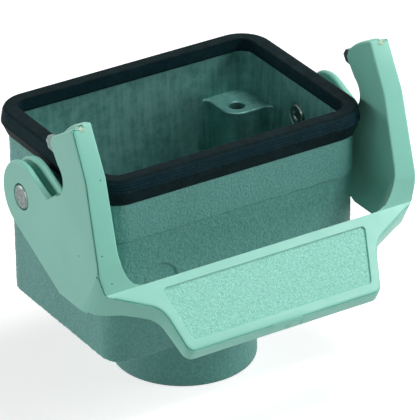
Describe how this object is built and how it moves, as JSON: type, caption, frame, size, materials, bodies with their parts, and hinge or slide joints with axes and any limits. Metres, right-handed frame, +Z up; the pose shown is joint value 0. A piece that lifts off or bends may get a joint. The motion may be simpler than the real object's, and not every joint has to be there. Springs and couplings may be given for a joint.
{
  "type": "rectangular connector coupler hood with locking lever",
  "caption": "Die-cast coupler hood for a rectangular power connector, with a rim gasket, a round cable neck and a moulded locking lever on two rivets.",
  "frame": {"origin": "Centre of the cable neck's end face, on the axis of the entry thread. The hood stands on this face.", "axes": "+Z up through the cable neck to the open rim, +X along the rim's long side to the right pivot, -Y to the front where the lever's handle bar hangs."},
  "size_m": [0.0756, 0.0629, 0.0713],
  "materials": {
    "coated_casting": "fine orange-peel powder coat outside, bare casting inside",
    "gasket_rubber": "matte black with a faint sheen",
    "lever_plastic": "smooth satin moulding",
    "spring_steel": "dull stamped stainless steel",
    "rivet_steel": "bright turned stainless steel"
  },
  "bodies": {
    "hood": {"hood_shell": "coated_casting", "rim_gasket": "gasket_rubber", "left_pivot_rivet": "rivet_steel", "right_pivot_rivet": "rivet_steel"},
    "lever": {"locking_lever": "lever_plastic", "left_cam_spring": "spring_steel", "right_cam_spring": "spring_steel"}
  },
  "joints": [
    {"name": "lever_hinge", "type": "hinge", "parent": "hood", "child": "lever", "pos_m": [0, 0, 0.0472], "axis": [1, 0, 0], "range_deg": [-51, 18]}
  ]
}
